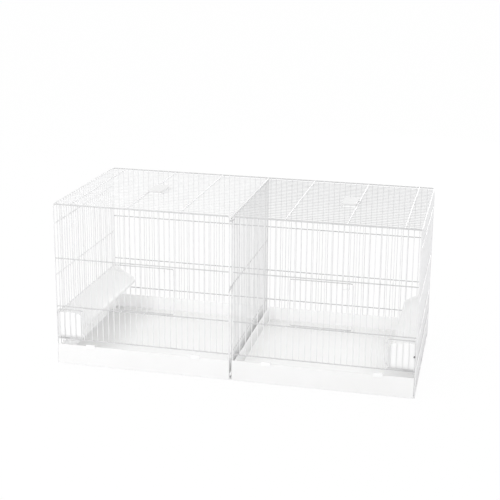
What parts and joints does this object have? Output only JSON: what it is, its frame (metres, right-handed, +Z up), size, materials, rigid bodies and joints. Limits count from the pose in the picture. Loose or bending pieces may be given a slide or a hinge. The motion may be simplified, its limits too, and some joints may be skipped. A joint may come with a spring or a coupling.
{
  "type": "canary breeding cage",
  "caption": "Wire breeding cage with a removable middle divider, drop-down doors, corner feeder doors, sliding trays and covered feeders along the ends.",
  "frame": {"origin": "middle of the base at the surface that the cage stands on, at the foot of the middle base wire", "axes": "+X to the right of a person facing the front, +Y towards the rear panel, +Z up"},
  "size_m": [0.9, 0.4179, 0.4219],
  "materials": {
    "wire": "white baked paint over steel wire, satin",
    "tray_plastic": "moulded white, fine grain",
    "feeder_plastic": "moulded white, smooth",
    "trim_plastic": "moulded white, smooth",
    "knob_plastic": "dark, fine grain"
  },
  "bodies": {
    "cage": {"base_runners": "wire", "base_rails": "wire", "front_posts": "wire", "feeder_sills": "wire", "front_upper_left": "wire", "front_upper_right": "wire", "front_inner_left": "wire", "front_inner_right": "wire", "front_outer_left": "wire", "front_outer_right": "wire", "front_lower_left": "wire", "front_lower_right": "wire", "rear_panel": "wire", "end_panel_left": "wire", "end_panel_right": "wire", "roof_left": "wire", "roof_right": "wire", "roof_bar": "trim_plastic", "feeder_trough_left": "feeder_plastic", "feeder_trough_right": "feeder_plastic", "feeder_cover_left": "feeder_plastic", "feeder_cover_right": "feeder_plastic", "feeder_front_cap_left": "feeder_plastic", "feeder_front_cap_right": "feeder_plastic", "feeder_rear_cap_left": "feeder_plastic", "feeder_rear_cap_right": "feeder_plastic"},
    "door_left": {"door_left": "wire"},
    "door_right": {"door_right": "wire"},
    "catch_left": {"door_catch_left": "wire"},
    "catch_right": {"door_catch_right": "wire"},
    "corner_door_left": {"corner_door_left": "wire"},
    "corner_door_right": {"corner_door_right": "wire", "corner_knob": "knob_plastic"},
    "tray_left": {"tray_left": "tray_plastic", "tray_clips_left": "trim_plastic"},
    "tray_right": {"tray_right": "tray_plastic", "tray_clips_right": "trim_plastic"},
    "divider": {"divider": "wire", "divider_hooks": "wire"},
    "lid_left": {"roof_lid_left": "trim_plastic"},
    "lid_right": {"roof_lid_right": "trim_plastic"}
  },
  "joints": [
    {"name": "door_left_hinge", "type": "hinge", "parent": "cage", "child": "door_left", "pos_m": [-0.219, -0.205, 0.152], "axis": [1, 0, 0], "range_deg": [0, 120]},
    {"name": "door_right_hinge", "type": "hinge", "parent": "cage", "child": "door_right", "pos_m": [0.219, -0.205, 0.152], "axis": [1, 0, 0], "range_deg": [0, 120]},
    {"name": "catch_left_slide", "type": "slide", "parent": "door_left", "child": "catch_left", "axis": [0, 0, -1], "range_m": [0, 0.012]},
    {"name": "catch_right_slide", "type": "slide", "parent": "door_right", "child": "catch_right", "axis": [0, 0, -1], "range_m": [0, 0.012]},
    {"name": "corner_left_hinge", "type": "hinge", "parent": "cage", "child": "corner_door_left", "pos_m": [-0.3775, -0.205, 0.107], "axis": [0, 0, 1], "range_deg": [0, 150]},
    {"name": "corner_right_hinge", "type": "hinge", "parent": "cage", "child": "corner_door_right", "pos_m": [0.3775, -0.205, 0.107], "axis": [0, 0, -1], "range_deg": [0, 150]},
    {"name": "tray_left_slide", "type": "slide", "parent": "cage", "child": "tray_left", "axis": [0, -1, 0], "range_m": [0, 0.36]},
    {"name": "tray_right_slide", "type": "slide", "parent": "cage", "child": "tray_right", "axis": [0, -1, 0], "range_m": [0, 0.36]},
    {"name": "divider_slide", "type": "slide", "parent": "cage", "child": "divider", "axis": [0, -1, 0], "range_m": [0, 0.4]},
    {"name": "lid_left_hinge", "type": "hinge", "parent": "cage", "child": "lid_left", "pos_m": [-0.263, -0.0073, 0.415], "axis": [0, -1, 0], "range_deg": [0, 100]},
    {"name": "lid_right_hinge", "type": "hinge", "parent": "cage", "child": "lid_right", "pos_m": [0.275, -0.0073, 0.415], "axis": [0, 1, 0], "range_deg": [0, 100]}
  ]
}
